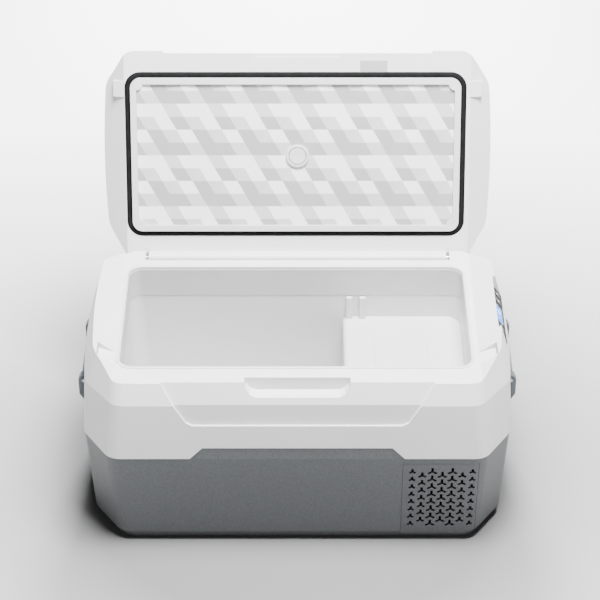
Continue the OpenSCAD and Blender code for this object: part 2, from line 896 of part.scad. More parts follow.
module fan_rotor() {
    y0 = fan_y - fan_depth / 2 + 1.5;
    y1 = fan_y + fan_depth / 2 - 3.6;
    color(DARK) translate([fan_x, 0, fan_z]) difference() {
        union() {
            rod_y(y0, y1, fan_hub_r);
            for (a = [0 : 360 / 7 : 359]) rotate([0, a, 0])
                translate([0, (y0 + y1) / 2, 0]) rotate([35, 0, 0])
                    translate([fan_hub_r - 2, -0.9, -10]) cube([fan_blade_r - fan_hub_r + 1, 1.8, 20]);
        }
        rod_y(y0 - 5, y1 + 5, fan_bore_r);
        difference() {
            rod_y(y0 - 20, y1 + 20, fan_size);
            rod_y(y0 - 21, y1 + 21, fan_blade_r);
        }
        rod_y(y1, y1 + 20, fan_size);
        rod_y(y0 - 20, y0, fan_size);
    }
}

// ---------- electrics ----------

module control_board() {
    color([0.1, 0.35, 0.2]) difference() {
        box([board_x0, board_y0, board_z], [board_x1, board_y1, board_z + 1.6]);
        board_corners() translate([0, 0, board_z - 1]) cylinder(r = 1.7, h = 4);
    }
}

module board_corners() {
    for (x = [board_x0 + 4, board_x1 - 4]) for (y = [board_y0 + 4, board_y1 - 4])
        translate([x, y, 0]) children();
}

module board_standoffs() {
    color(STEEL) board_corners() {
        translate([0, 0, base_floor]) cylinder(r = 3, h = board_z - base_floor);
        translate([0, 0, board_z - 1]) cylinder(r = 1.6, h = 2.6);
        translate([0, 0, board_z + 1.6]) cylinder(r = 2.8, h = 1.8);
    }
}

module board_heatsink() {
    z = board_z + 1.6;
    color([0.8, 0.8, 0.82]) {
        box([board_x0 + 5, board_y0 + 14, z], [board_x1 - 5, board_y1 - 14, z + 3]);
        for (x = [board_x0 + 5 : 3.1 : board_x1 - 6])
            box([x, board_y0 + 14, z + 3 - eps], [x + 1, board_y1 - 14, z + 12]);
    }
}

module inlet_boss() {
    box([inlet_x - 22, inlet_y1, inlet_z - 17], [inlet_x + 22, inlet_y1 + 3.5, inlet_z + 17]);
}

module inlet_hole() {
    box([inlet_x - 17.2, inlet_y1 - 5, inlet_z - 12.2], [inlet_x + 17.2, far, inlet_z + 12.2]);
}

module power_inlet() {
    color(DARK) {
        difference() {
            union() {
                box([inlet_x - 17, inlet_y1 - 20, inlet_z - 12],
                    [inlet_x + 17, inlet_y1 + 3.5, inlet_z + 12]);
                box([inlet_x - 21, inlet_y1 - 2.5, inlet_z - 16], [inlet_x + 21, inlet_y1, inlet_z + 16]);
            }
            bar_y(inlet_y1 - 12, far) translate([inlet_x, inlet_z]) round_rect(-13, -8, 13, 8, 4);
        }
        for (x = [-6, 6]) translate([inlet_x + x, 0, inlet_z]) rod_y(inlet_y1 - 13, inlet_y1 - 1, 1.6);
    }
}

module cable_run(r) {
    pipe([[cable_x, cable_y, 244], [cable_x, cable_y, 152], [cable_x - 8, cable_y, 132],
          [board_x1 + 8, cable_y, 132], [board_x1 + 8, cable_y, board_z + 8],
          [board_x1 - 1, cable_y, board_z + 8]], r);
}

module display_cable() {
    color(DARK) cable_run(cable_r);
}

module probe_rod(r) {
    translate([hump_x + liner_t + probe_r + 0.05, 0, 70]) rod_y(-22, 22, r);
}

module temperature_probe() {
    color(STEEL) probe_rod(probe_r);
}

// ---------- control panel ----------

module control_panel() {
    color(DARK) on_panel() difference() {
        slab(-panel_t_out, 0) round_rect(-panel_w / 2, -panel_l / 2, panel_w / 2, panel_l / 2, 4);
        for (y = BUTTON_Y) translate([0, y - panel_y, 0]) slab(-panel_t_out - 1, 1)
            round_rect(-button_w / 2 - button_clear, -button_l / 2 - button_clear,
                       button_w / 2 + button_clear, button_l / 2 + button_clear, 2 + button_clear);
        slab(-1.6, 1) display_outline(0.05);
        slab(-panel_t_out - 1, 0) display_outline(-1.5);
    }
}

module display_outline(grow) {
    y = display_y - panel_y;
    round_rect(-display_w / 2 - grow, y - display_l / 2 - grow,
               display_w / 2 + grow, y + display_l / 2 + grow, 2);
}

module display_lens() {
    color([0.15, 0.45, 0.9]) on_panel() slab(-1.6, -0.2) display_outline(0);
}

module display_board() {
    color([0.1, 0.35, 0.2]) on_panel() {
        box([-panel_w / 2 + 1, -panel_l / 2 + 1, -8], [panel_w / 2 - 1, panel_l / 2 - 1, -6.4]);
        for (x = [-1, 1]) for (y = [-1, 1])
            translate([x * 8.5, y * 50.5, -6.4 - eps]) cylinder(r = 1.8, h = 3.4);
    }
}

// Button number i, front to rear, standing slightly out of the panel
module panel_button(i) {
    color([0.25, 0.26, 0.28]) on_panel() translate([0, BUTTON_Y[i] - panel_y, 0]) {
        slab(-3.4, 0.5) round_rect(-button_w / 2, -button_l / 2, button_w / 2, button_l / 2, 2);
        slab(-4.4, -3.4 + eps)
            round_rect(-button_w / 2 - 1, -button_l / 2 - 1, button_w / 2 + 1, button_l / 2 + 1, 2);
    }
}

module power_button() {
    panel_button(0);
}

module set_button() {
    panel_button(1);
}

module up_button() {
    panel_button(2);
}

module down_button() {
    panel_button(3);
}

// ---------- vents, feet and fasteners ----------

// A slot with three arms: one up and two down to the sides
module three_arm_slot(arm) {
    for (a = [90, 210, 330]) rotate(a) translate([0, -slot_w / 2]) square([arm, slot_w]);
    circle(slot_w / 2, $fn = 12);
}

module grille() {
    mid = (slot_cols - 1) / 2;
    for (i = [0 : slot_cols - 1]) {
        arm = SLOT_ARM[abs(i - mid)];
        shift = (i % 2) * slot_pitch_z / 2;
        for (z = [grille_z0 + 6 + shift : slot_pitch_z : grille_z1 - 6])
            translate([grille_x + (i - mid) * slot_pitch_x, z]) three_arm_slot(arm);
    }
}

module front_vent_cover() {
    color(GREY) difference() {
        intersection() {
            difference() {
                base_solid(lip_step, 0, split_h);
                base_solid(wall + lip_step, 0, split_h + 1);
            }
            vent_window(0);
        }
        bar_y(-far, 0) grille();
    }
}

module rear_vent_cover() {
    color(GREY) difference() {
        intersection() {
            difference() {
                base_solid(lip_step, 0, split_h);
                base_solid(wall + lip_step, 0, split_h + 1);
            }
            rear_window(0);
        }
        for (z = [rear_vent_z0 + 14 : 9 : rear_vent_z1 - 12]) bar_y(0, far)
            round_rect(rear_vent_x0 + 12, z, rear_vent_x1 - 12, z + 4, 1.9);
        rear_vent_screw_spots() screw_hole(screw_r + 0.2, head_r + 0.1, 14);
    }
}

// How far back the base's rear face is at height z
function rear_face(z) = lookup(z, FRONT_Y) - lip_step;

module rear_vent_screw_spots() {
    for (x = [rear_vent_x0 + 5, rear_vent_x1 - 5]) for (z = [rear_vent_z0 + 24, rear_vent_z1 - 24])
        translate([x, rear_face(z), z]) children();
}

// The hole for a screw driven in from the rear: a shank and a sunk head, with its head at y = 0
module screw_hole(shank, head, length) {
    rod_y(-length, 0, shank);
    rod_y(-head_t, 5, head);
}

module rear_vent_screws() {
    color(STEEL) rear_vent_screw_spots() {
        rod_y(-6, -1, screw_r);
        rod_y(-head_t, -0.4, head_r);
    }
}

module shell_screw_spots() {
    for (x = SHELL_SCREW_X) translate([x, rear_face(shell_screw_z), shell_screw_z]) children();
}

module shell_screws() {
    color(STEEL) shell_screw_spots() {
        rod_y(-5.2, -1, screw_r);
        rod_y(-head_t, -0.4, head_r);
    }
}

module foot_pads() {
    color(DARK) for (x = [-1, 1]) for (y = [-1, 1]) translate([x * foot_x, y * foot_y, 0])
        cylinder(r = foot_r, h = foot_t);
}

// ---------- handles ----------

// Outline of the grip in the X-Z plane: flat outside, bevelled at its lower outer edge
module grip_outline() {
    polygon([[handle_outer_x - grip_t, handle_foot_z], [handle_outer_x - grip_t + 3, handle_foot_z],
             [handle_outer_x, handle_bevel_z], [handle_outer_x, handle_bevel_z + 4],
             [handle_outer_x - 1.5, handle_bevel_z + 6], [handle_outer_x - grip_t, handle_bevel_z + 6]]);
}

module arm_outline() {
    reach = handle_outer_x - handle_pivot_x;
    translate([handle_pivot_x, handle_pivot_z]) circle(reach - 1);
    polygon([[handle_outer_x - grip_t, handle_foot_z], [handle_outer_x - grip_t + 3, handle_foot_z],
             [handle_outer_x, handle_bevel_z], [handle_outer_x, handle_pivot_z],
             [handle_outer_x - grip_t, handle_pivot_z]]);
}

module handle_right() {
    color(GREY) difference() {
        union() {
            bar_y(-handle_l / 2, handle_l / 2) grip_outline();
            mirror_y() bar_y(handle_l / 2 - handle_arm_t, handle_l / 2) arm_outline();
        }
        translate([handle_pivot_x, 0, handle_pivot_z]) rod_y(-far, far, handle_bore_r);
    }
}

module handle_left() {
    mirror([1, 0, 0]) handle_right();
}

module handle_pins_right() {
    color(STEEL) mirror_y() translate([handle_pivot_x, 0, handle_pivot_z]) {
        y0 = handle_l / 2 - handle_arm_t - 1;
        rod_y(y0, y0 + handle_pin_l, handle_pin_r);
    }
}

module handle_pins_left() {
    mirror([1, 0, 0]) handle_pins_right();
}

// ---------- lid, drawn closed and then swung open ----------

module swung_open() {
    translate([0, hinge_y, hinge_z]) rotate([-lid_open, 0, 0]) translate([0, -hinge_y, -hinge_z]) children();
}

// The closed lid above its underside raised by lift, drawn in by inset
module lid_solid(inset, lift, top) {
    difference() {
        loft([[rim_h - 8, inset], [top - 9, inset], [top - 4, inset + 2],
              [top - 1, inset + 6], [top, inset + 11]]);
        below_rim(-lid_gap - lift);
    }
}

// What the rear corners of the lid leave free, so that they swing clear of the body, raised and widened
module rear_relief(raise = 0, widen = 0) {
    before = 30;
    behind = 60;
    both_sides() bar_x(relief_x - widen, far)
        polygon([[relief_y - before, relief_z + raise - before * relief_slope],
                 [relief_y + behind, relief_z + raise + behind * relief_slope],
                 [relief_y + behind, relief_z - 80], [relief_y - before, relief_z - 80]]);
}

// The step of the body's front panel, carried up the front of the lid
module lid_panel_cut() {
    difference() {
        bar_y(-far, 0) polygon([[-PANEL_EDGE[0].x, rim_h - 20], [PANEL_EDGE[0].x, rim_h - 20],
            [lid_panel_top_x, lid_panel_top_z], [-lid_panel_top_x, lid_panel_top_z]]);
        loft([[rim_h - 10, panel_depth], [top_of_table, panel_depth]]);
    }
}

module lid_outer_shell() {
    color(WHITE) swung_open() difference() {
        lid_solid(0, frame_t, lid_top_h);
        difference() {
            lid_solid(lid_skin, frame_t - 1, lid_top_h - lid_skin);
            difference() {
                box([-200, -far, 0], [200, 0, lid_panel_top_z - lid_skin]);
                loft([[rim_h - 10, panel_depth + lid_skin], [top_of_table, panel_depth + lid_skin]]);
            }
            rear_relief(4, 3);
        }
        lid_panel_cut();
        rear_relief();
        slab(lid_top_h - 1.2, lid_top_h + 1) round_rect(-178, -74, 178, 74, 14);
    }
}

module gasket_outline(grow) {
    tub_outline(gasket_out + grow, tub_r - 1);
}

module lid_inner_frame() {
    color(WHITE) swung_open() difference() {
        union() {
            difference() {
                lid_solid(0, 0, lid_top_h);
                translate([0, 0, frame_t]) difference() {
                    slab(0, far) square(2 * far, center = true);
                    below_rim(-lid_gap);
                }
            }
            // the catch tabs that drop into the rim's pockets
            both_sides() bar_y(pocket_y0 + 1.5, pocket_y1 - 1.5)
                polygon([[tab_x0, 258], [tab_x1, 264.5], [tab_x1, 272], [tab_x0, 260]]);
        }
        slab(rim_h - 5, far) gasket_outline(0.1);
        lid_panel_cut();
        rear_relief();
        slab(rim_h, rim_h + lid_gap + 1.2) round_rect(-57, -142, 57, -135, 3.4);
        lid_hinge_screw_spots() cylinder(r = 1.6, h = 40);
    }
}

module lid_gasket() {
    color(DARK) swung_open() slab(gasket_face_h, gasket_face_h + gasket_h) difference() {
        gasket_outline(0);
        gasket_outline(-gasket_w);
    }
}

module lid_liner() {
    rim = gasket_out - gasket_w - 0.2;
    top = gasket_face_h + gasket_h + 0.1;
    color(WHITE) swung_open() difference() {
        union() {
            slab(liner_rim_h, top + lid_flange_t) tub_outline(rim, tub_r - 1);
            slab(top, top + lid_flange_t) gasket_outline(0);
        }
        slab(liner_rim_h - 1, liner_panel_h) panel_outline();
        slab(liner_panel_h + panel_t, far) tub_outline(rim - liner_rim_w - 1, tub_r - 1);
        translate([0, plug_y, 0]) cylinder(r = plug_r - 2, h = far);
    }
}

// The sunk field of the lid liner, with a small round notch in each corner
module panel_outline() {
    inner = gasket_out - gasket_w - 0.2 - liner_rim_w;
    difference() {
        round_rect(tub_left - inner, tub_front - inner, tub_right + inner, tub_back + inner, 2);
        for (x = [tub_left - inner, tub_right + inner]) for (y = [tub_front - inner, tub_back + inner])
            translate([x, y]) circle(8);
    }
}

module lid_foam() {
    top = gasket_face_h + gasket_h + 0.1 + lid_flange_t + 0.2;
    color([0.9, 0.85, 0.6]) swung_open() difference() {
        lid_solid(lid_skin + panel_depth + 0.5, 8, lid_top_h - lid_skin - 1.5);
        rear_relief(10, 6);
        slab(0, top) square(2 * far, center = true);
    }
}

module lid_foam_plug() {
    color([0.85, 0.85, 0.86]) swung_open() translate([0, plug_y, 0]) {
        translate([0, 0, liner_panel_h - plug_t]) cylinder(r = plug_r, h = plug_t);
        translate([0, 0, liner_panel_h - eps]) cylinder(r = plug_r - 2.1, h = panel_t + 1);
        translate([0, 0, liner_panel_h - plug_t]) difference() {
            cylinder(r = plug_ring_r, h = plug_t);
            translate([0, 0, -1]) cylinder(r = plug_r + 1, h = plug_t + 2);
        }
    }
}

module lid_label() {
    color([0.8, 0.8, 0.8]) swung_open() slab(rim_h + lid_gap - 0.3, rim_h + lid_gap)
        round_rect(83.5, -130.6, 120, -116, 1);
}

module lid_hinge_bar() {
    color(WHITE) swung_open() difference() {
        bar_x(-hinge_bar_x, hinge_bar_x) {
            translate([hinge_y, hinge_z]) circle(hinge_bar_r);
            polygon([[hinge_y - 6.4, hinge_z], [hinge_y + 4.5, hinge_z], [hinge_y + 4.5, rim_h + lid_gap],
                     [hinge_y - 6.4, rim_h + lid_gap]]);
        }
        both_sides() translate([0, hinge_y, hinge_z])
            rod_x(hinge_bar_x - hinge_pin_in, hinge_bar_x + 1, hinge_bore_r);
        lid_hinge_screw_spots() cylinder(r = 1.5, h = rim_h + lid_gap - hinge_z + 8);
    }
}

module lid_hinge_screw_spots() {
    for (x = [-150 : 60 : 150]) translate([x, hinge_y - 2.6, hinge_z + 1]) children();
}

module lid_hinge_screws() {
    color(STEEL) swung_open() lid_hinge_screw_spots() {
        cylinder(r = 1.5, h = rim_h + lid_gap + frame_t - hinge_z - 1 + eps);
        translate([0, 0, rim_h + lid_gap + frame_t - hinge_z - 1]) cylinder(r = 3, h = 1.6);
    }
}

module hinge_pin_right() {
    color(STEEL) translate([0, hinge_y, hinge_z])
        rod_x(hinge_bar_x - hinge_pin_in + 1, notch_x + hinge_pin_out, hinge_pin_r);
}

module hinge_pin_left() {
    mirror([1, 0, 0]) hinge_pin_right();
}

base_shell();
upper_shell();
tub_liner();
foam_insulation();
evaporator_sheet();
evaporator_tube();
temperature_probe();
front_vent_cover();
rear_vent_cover();
rear_vent_screws();
shell_screws();
foot_pads();
compressor_tray();
compressor_grommets();
compressor();
compressor_terminal_cover();
condenser_fins();
condenser_tube();
fan_shroud();
fan_rotor();
filter_drier();
capillary_tube();
suction_line();
discharge_line();
control_board();
board_heatsink();
board_standoffs();
power_inlet();
control_panel();
display_lens();
display_board();
display_cable();
power_button();
set_button();
up_button();
down_button();
handle_left();
handle_right();
handle_pins_left();
handle_pins_right();
hinge_pin_left();
hinge_pin_right();
lid_hinge_screws();
lid_outer_shell();
lid_inner_frame();
lid_liner();
lid_gasket();
lid_foam();
lid_foam_plug();
lid_label();
lid_hinge_bar();
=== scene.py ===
"""Studio scene of the compressor cooler box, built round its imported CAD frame. Lengths are in metres."""
import json
import math

import bmesh
import bpy
from mathutils import Matrix, Vector


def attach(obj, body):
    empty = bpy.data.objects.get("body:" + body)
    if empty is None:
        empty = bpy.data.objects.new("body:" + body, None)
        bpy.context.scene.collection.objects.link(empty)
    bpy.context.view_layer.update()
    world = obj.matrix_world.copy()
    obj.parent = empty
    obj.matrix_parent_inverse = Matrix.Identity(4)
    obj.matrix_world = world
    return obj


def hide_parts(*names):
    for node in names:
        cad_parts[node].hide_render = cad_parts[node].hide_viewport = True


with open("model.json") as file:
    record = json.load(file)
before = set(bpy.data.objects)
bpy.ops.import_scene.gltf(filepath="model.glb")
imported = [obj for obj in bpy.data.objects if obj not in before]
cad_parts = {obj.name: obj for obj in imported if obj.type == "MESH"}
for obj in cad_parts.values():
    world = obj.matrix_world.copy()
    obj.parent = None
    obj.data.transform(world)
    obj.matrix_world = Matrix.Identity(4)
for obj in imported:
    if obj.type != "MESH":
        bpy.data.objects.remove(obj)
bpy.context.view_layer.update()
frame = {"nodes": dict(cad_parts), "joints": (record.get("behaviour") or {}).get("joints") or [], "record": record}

MM = 0.001
nodes = frame["nodes"]


# ---------- camera ----------

def make_camera():
    """The photograph's view: a long lens from the front, looking down at the open lid."""
    data = bpy.data.cameras.new("camera")
    data.lens = 125.06
    data.sensor_width = 36.0
    data.clip_end = 50.0
    camera = bpy.data.objects.new("camera", data)
    camera.location = (0.0034, -2.1829, 1.8901)
    camera.rotation_euler = (math.radians(90.0 - 36.4), 0.0, 0.0)
    bpy.context.scene.collection.objects.link(camera)
    bpy.context.scene.camera = camera


# ---------- materials ----------

# a low index of refraction, for dark parts that are seen at a flat angle
LOW_IOR = 1.12


class Nodes:
    """A short way to build one material's node tree."""

    def __init__(self, name):
        self.material = bpy.data.materials.new(name)
        self.material.use_nodes = True
        self.tree = self.material.node_tree
        self.tree.nodes.clear()
        self.shader = self.add("ShaderNodeBsdfPrincipled")
        out = self.add("ShaderNodeOutputMaterial")
        self.link(self.shader.outputs["BSDF"], out.inputs["Surface"])
        self.coords = self.add("ShaderNodeTexCoord").outputs["Object"]

    def add(self, kind, **values):
        node = self.tree.nodes.new(kind)
        for key, value in values.items():
            setattr(node, key, value)
        return node

    def link(self, out, into):
        self.tree.links.new(out, into)

    def noise(self, scale, detail=3.0, rough=0.5):
        """Noise whose features are 1 / scale metres across."""
        node = self.add("ShaderNodeTexNoise")
        node.inputs["Scale"].default_value = scale
        node.inputs["Detail"].default_value = detail
        node.inputs["Roughness"].default_value = rough
        self.link(self.coords, node.inputs["Vector"])
        return node.outputs["Fac"]

    def spread(self, value, low, high, out_low, out_high):
        """Carries a value's range low to high over to out_low to out_high."""
        node = self.add("ShaderNodeMapRange")
        node.inputs["From Min"].default_value = low
        node.inputs["From Max"].default_value = high
        node.inputs["To Min"].default_value = out_low
        node.inputs["To Max"].default_value = out_high
        self.link(value, node.inputs["Value"])
        return node.outputs["Result"]

    def blend(self, factor, first, second):
        """A colour between the first and the second."""
        node = self.add("ShaderNodeMix", data_type="RGBA")
        self.link(factor, node.inputs["Factor"])
        node.inputs["A"].default_value = (*first, 1.0)
        node.inputs["B"].default_value = (*second, 1.0)
        return node.outputs["Result"]

    def bump(self, height, distance, strength=1.0):
        node = self.add("ShaderNodeBump")
        node.inputs["Strength"].default_value = strength
        node.inputs["Distance"].default_value = distance
        self.link(height, node.inputs["Height"])
        return node.outputs["Normal"]

    def set(self, **values):
        """Constants of the shader, with _ for each space in a socket's name."""
        for key, value in values.items():
            self.shader.inputs[key.replace("_", " ")].default_value = value


def moulded_plastic(name, colour, rough, grain=2600.0, depth=0.04 * MM, change=0.03, ior=1.45):
    """Injection-moulded plastic: a fine spark-eroded grain, and slow unevenness in its colour and gloss."""
    n = Nodes(name)
    slow = n.noise(9.0, 4.0)
    fine = n.noise(grain, 2.0)
    shade = n.blend(n.spread(slow, 0.3, 0.7, 0.0, 1.0), [c * (1 - change) for c in colour],
                    [min(1.0, c * (1 + change)) for c in colour])
    n.link(shade, n.shader.inputs["Base Color"])
    n.link(n.spread(n.noise(60.0, 5.0), 0.3, 0.7, rough - 0.05, rough + 0.05), n.shader.inputs["Roughness"])
    n.link(n.bump(fine, depth, 0.6), n.shader.inputs["Normal"])
    n.set(IOR=ior)
    return n.material


def metallic_grey(name, colour):
    """Grey plastic with metal flakes under a fine texture, as on the base."""
    n = Nodes(name)
    flake = n.add("ShaderNodeTexVoronoi")
    flake.inputs["Scale"].default_value = 1500.0
    n.link(n.coords, flake.inputs["Vector"])
    bright = n.add("ShaderNodeSeparateColor")
    n.link(flake.outputs["Color"], bright.inputs["Color"])
    shade = n.blend(n.spread(bright.outputs["Red"], 0.0, 1.0, 0.0, 1.0), [c * 0.8 for c in colour],
                    [c * 1.25 for c in colour])
    n.link(shade, n.shader.inputs["Base Color"])
    n.link(n.spread(n.noise(700.0, 3.0), 0.3, 0.7, 0.38, 0.55), n.shader.inputs["Roughness"])
    n.link(n.bump(n.noise(1500.0, 3.0), 0.05 * MM, 0.7), n.shader.inputs["Normal"])
    n.set(Metallic=0.35)
    return n.material


def rubber(name):
    n = Nodes(name)
    patches = n.spread(n.noise(120.0, 4.0), 0.3, 0.7, 0.0, 1.0)
    n.link(n.blend(patches, (0.006, 0.006, 0.0065), (0.0108, 0.0108, 0.0117)), n.shader.inputs["Base Color"])
    n.link(n.spread(n.noise(400.0), 0.3, 0.7, 0.6, 0.8), n.shader.inputs["Roughness"])
    n.link(n.bump(n.noise(1800.0), 0.05 * MM), n.shader.inputs["Normal"])
    n.set(Specular_IOR_Level=0.2, IOR=1.3)
    return n.material


def metal(name, colour, rough=0.3):
    """Bare drawn or rolled metal, a little uneven."""
    n = Nodes(name)
    n.link(n.blend(n.spread(n.noise(40.0, 5.0), 0.3, 0.7, 0.0, 1.0), [c * 0.85 for c in colour], colour),
           n.shader.inputs["Base Color"])
    n.link(n.spread(n.noise(250.0, 4.0), 0.3, 0.7, rough - 0.08, rough + 0.1), n.shader.inputs["Roughness"])
    n.link(n.bump(n.noise(900.0), 0.02 * MM, 0.5), n.shader.inputs["Normal"])
    n.set(Metallic=1.0)
    return n.material


def gloss_black(name):
    """The smooth black of the control panel."""
    n = Nodes(name)
    n.link(n.blend(n.spread(n.noise(30.0), 0.3, 0.7, 0.0, 1.0), (0.006, 0.007, 0.009), (0.012, 0.013, 0.016)),
           n.shader.inputs["Base Color"])
    n.link(n.spread(n.noise(200.0, 4.0), 0.3, 0.7, 0.12, 0.2), n.shader.inputs["Roughness"])
    n.set(IOR=LOW_IOR, Specular_IOR_Level=0.1)
    return n.material


def lit_display(name):
    """A tinted window with a soft blue glow under it."""
    n = Nodes(name)
    glow = n.blend(n.spread(n.noise(260.0, 2.0), 0.35, 0.65, 0.0, 1.0), (0.01, 0.12, 0.75), (0.08, 0.4, 1.0))
    n.link(glow, n.shader.inputs["Base Color"])
    n.link(glow, n.shader.inputs["Emission Color"])
    n.link(n.spread(n.noise(150.0), 0.3, 0.7, 0.05, 0.12), n.shader.inputs["Roughness"])
    n.set(Emission_Strength=0.7, IOR=LOW_IOR, Specular_IOR_Level=0.1)
    return n.material


def lit_figures(name):
    """The bright bars of the display."""
    n = Nodes(name)
    glow = n.blend(n.spread(n.noise(400.0, 2.0), 0.35, 0.65, 0.0, 1.0), (0.5, 0.8, 1.0), (0.75, 0.92, 1.0))
    n.link(glow, n.shader.inputs["Base Color"])
    n.link(glow, n.shader.inputs["Emission Color"])
    n.set(Emission_Strength=1.6, Roughness=0.3)
    return n.material


def circuit_board(name):
    n = Nodes(name)
    patches = n.spread(n.noise(220.0, 2.0), 0.45, 0.55, 0.0, 1.0)
    n.link(n.blend(patches, (0.01, 0.09, 0.04), (0.02, 0.16, 0.08)), n.shader.inputs["Base Color"])
    n.link(n.spread(n.noise(300.0), 0.3, 0.7, 0.3, 0.5), n.shader.inputs["Roughness"])
    return n.material


def foam_material(name):
    n = Nodes(name)
    n.link(n.blend(n.spread(n.noise(90.0, 6.0), 0.3, 0.7, 0.0, 1.0), (0.62, 0.53, 0.3), (0.8, 0.73, 0.5)),
           n.shader.inputs["Base Color"])
    n.link(n.bump(n.noise(500.0, 6.0), 0.4 * MM), n.shader.inputs["Normal"])
    n.link(n.spread(n.noise(300.0), 0.3, 0.7, 0.8, 0.95), n.shader.inputs["Roughness"])
    return n.material


def white(name, shade, rough=0.34):
    """The smooth white or pale grey plastic of the liners; the lighter and darker tones of the relief facets and
    the collar are painted light and shade.
    """
    return moulded_plastic(name, shade, rough, grain=1200.0, depth=0.01 * MM)


def make_materials():
    """One material for each of the record's slots, and those of the pieces added here."""
    return {
        "white_shell": moulded_plastic("white_shell", (0.77, 0.77, 0.77), 0.42),
        "white_liner": white("white_liner", (0.68, 0.68, 0.68)),
        "grey_shell": metallic_grey("grey_shell", (0.11, 0.118, 0.121)),
        "grey_handle": moulded_plastic("grey_handle", (0.10, 0.115, 0.13), 0.4),
        "foam": foam_material("foam"),
        "seal_rubber": rubber("seal_rubber"),
        "aluminium_sheet": metal("aluminium_sheet", (0.78, 0.79, 0.8)),
        "copper_tube": metal("copper_tube", (0.75, 0.38, 0.22)),
        "steel": metal("steel", (0.55, 0.56, 0.58)),
        "black_metal": moulded_plastic("black_metal", (0.02, 0.02, 0.022), 0.35),
        "black_plastic": moulded_plastic("black_plastic", (0.025, 0.026, 0.03), 0.45),
        "board": circuit_board("board"),
        "panel_gloss": gloss_black("panel_gloss"),
        "display": lit_display("display"),
        "button": moulded_plastic("button", (0.03, 0.033, 0.04), 0.25, change=0.1, ior=LOW_IOR),
        "label": moulded_plastic("label", (0.42, 0.42, 0.43), 0.4),
        # the three facet tones are painted light and shade for the relief's slopes, not colours of the plastic
        "painted_lit_facet": white("painted_lit_facet", (0.9, 0.9, 0.9)),
        "painted_half_shade_facet": white("painted_half_shade_facet", (0.6, 0.6, 0.605)),
        "painted_shade_grey": white("painted_shade_grey", (0.42, 0.42, 0.425)),
        # the collar's darker tone is painted shade for its upright face, not a colour of the plastic
        "collar": white("collar", (0.57, 0.57, 0.57), rough=0.4),
        "mark": moulded_plastic("mark", (0.5, 0.52, 0.55), 0.3),
        "figures": lit_figures("figures"),
    }


# ---------- finishing the CAD nodes ----------

def soften(obj, width, angle):
    """Joins a node's flat facets and rounds its edges, as a mould does."""
    mesh = obj.data
    if mesh.has_custom_normals:
        with bpy.context.temp_override(object=obj, active_object=obj):
            bpy.ops.mesh.customdata_custom_splitnormals_clear()
    for polygon in mesh.polygons:
        polygon.use_smooth = True
    weld = obj.modifiers.new("weld", "WELD")
    weld.merge_threshold = 0.004 * MM
    flat = obj.modifiers.new("flat", "DECIMATE")
    flat.decimate_type = "DISSOLVE"
    flat.angle_limit = math.radians(0.4)
    bevel = obj.modifiers.new("edges", "BEVEL")
    bevel.width = width
    bevel.segments = 3
    bevel.limit_method = "ANGLE"
    bevel.angle_limit = math.radians(angle)
    normals = obj.modifiers.new("normals", "WEIGHTED_NORMAL")
    normals.keep_sharp = True
    normals.weight = 80


# the mouldings with shallow creases between their flat facets
FACETED = ("upper_shell", "base_shell", "lid_outer_shell", "lid_inner_frame")
FACETED_CREASE = 9.0
OTHER_CREASE = 24.0
# nodes whose look isn't that of their slot
PAINTED = {"condenser_tube": "black_metal", "condenser_fins": "black_metal"}
# widths of the rounded edges in millimetres
EDGE = {"upper_shell": 1.2, "base_shell": 1.0, "lid_outer_shell": 1.5, "lid_inner_frame": 0.8, "tub_liner": 1.0,
        "handle_left": 1.6, "handle_right": 1.6, "lid_hinge_bar": 1.0, "control_panel": 0.6}
OTHER_EDGE = 0.3


def finish_nodes(materials):
    """Gives each CAD node its material and its rounded edges."""
    for part in frame["record"]["subparts"]:
        name = part["node"]
        obj = nodes[name]
        obj.data.materials.clear()
        obj.data.materials.append(materials[PAINTED.get(name, part["material_slot"])])
        soften(obj, EDGE.get(name, OTHER_EDGE) * MM, FACETED_CREASE if name in FACETED else OTHER_CREASE)


# ---------- pieces built here ----------

def turn(matrix, points):
    return [matrix @ Vector(point) for point in points]


def piece(name, points, faces, material, body, slot, place=None, smooth=30.0, bevel=0.0):
    """One mesh made from points in millimetres, riding on a body. Edges over smooth degrees stay sharp."""
    if place is not None:
        points = turn(place, points)
    mesh = bpy.data.meshes.new(name)
    mesh.from_pydata([Vector(point) * MM for point in points], [], faces)
    b = bmesh.new()
    b.from_mesh(mesh)
    bmesh.ops.recalc_face_normals(b, faces=b.faces)
    b.to_mesh(mesh)
    b.free()
    for polygon in mesh.polygons:
        polygon.use_smooth = True
    mesh.set_sharp_from_angle(angle=math.radians(smooth))
    mesh.materials.append(material)
    obj = bpy.data.objects.new(name, mesh)
    bpy.context.scene.collection.objects.link(obj)
    if bevel:
        edges = obj.modifiers.new("edges", "BEVEL")
        edges.width = bevel * MM
        edges.segments = 2
        edges.limit_method = "ANGLE"
        edges.angle_limit = math.radians(smooth)
        normals = obj.modifiers.new("normals", "WEIGHTED_NORMAL")
        normals.keep_sharp = True
    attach(obj, body)
    return obj


def prism(outline, low, high):
    """Points and faces of a flat outline, thickened along Z."""
    n = len(outline)
    points = [(x, y, low) for x, y in outline] + [(x, y, high) for x, y in outline]
    faces = [tuple(reversed(range(n))), tuple(range(n, 2 * n))]
    faces += [(i, (i + 1) % n, n + (i + 1) % n, n + i) for i in range(n)]
    return points, faces


def join(*solids):
    """Several solids' points and faces, as one."""
    points, faces = [], []
    for some_points, some_faces in solids:
        faces += [tuple(i + len(points) for i in face) for face in some_faces]
        points += list(some_points)
    return points, faces


def grid_faces(rows, columns, close_rows=True):
    """Faces between the points of a net whose columns, and where asked its rows, close on themselves."""
    faces = []
    for i in range(rows if close_rows else rows - 1):
        for j in range(columns):
            k, m = (i + 1) % rows, (j + 1) % columns
            faces.append((i * columns + j, i * columns + m, k * columns + m, k * columns + j))
    return faces


